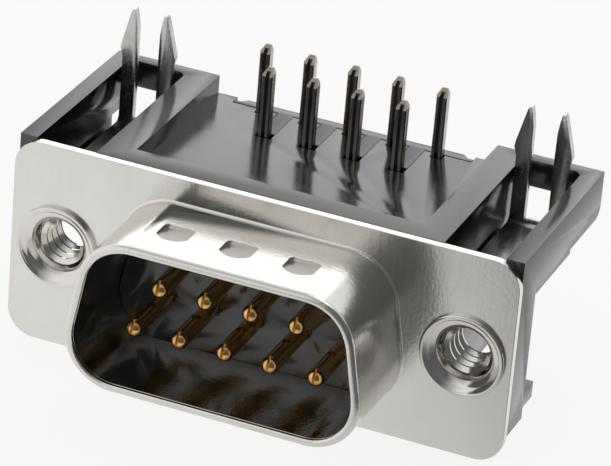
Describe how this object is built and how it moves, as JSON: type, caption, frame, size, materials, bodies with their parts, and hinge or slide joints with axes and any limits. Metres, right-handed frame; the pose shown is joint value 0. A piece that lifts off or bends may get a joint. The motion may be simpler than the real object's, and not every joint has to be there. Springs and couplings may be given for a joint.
{
  "type": "right-angle d-sub pin connector",
  "caption": "Right-angle board-mount D-sub plug with a tin-plated steel shell, gold pins, threaded jackscrew inserts, black moulding and fork boardlocks.",
  "frame": {"origin": "middle of the D opening, in the plane of the flange's front face", "axes": "+X along the flange, -Y out of the mating side, +Z towards the circuit board, the way the tails point"},
  "size_m": [0.0308, 0.02, 0.0167],
  "materials": {
    "shell_steel": "satin",
    "black_plastic": "semi-gloss",
    "comb_plastic": "semi-gloss",
    "insert_steel": "bright",
    "lock_steel": "satin",
    "contact_metal": "gold-plated at the pin, tinned at the tail"
  },
  "bodies": {
    "root": {"metal_shell": "shell_steel", "housing": "black_plastic", "tail_comb": "comb_plastic", "threaded_insert_left": "insert_steel", "threaded_insert_right": "insert_steel", "boardlock_left": "lock_steel", "boardlock_right": "lock_steel", "contact_1": "contact_metal", "contact_2": "contact_metal", "contact_3": "contact_metal", "contact_4": "contact_metal", "contact_5": "contact_metal", "contact_6": "contact_metal", "contact_7": "contact_metal", "contact_8": "contact_metal", "contact_9": "contact_metal"}
  },
  "joints": []
}
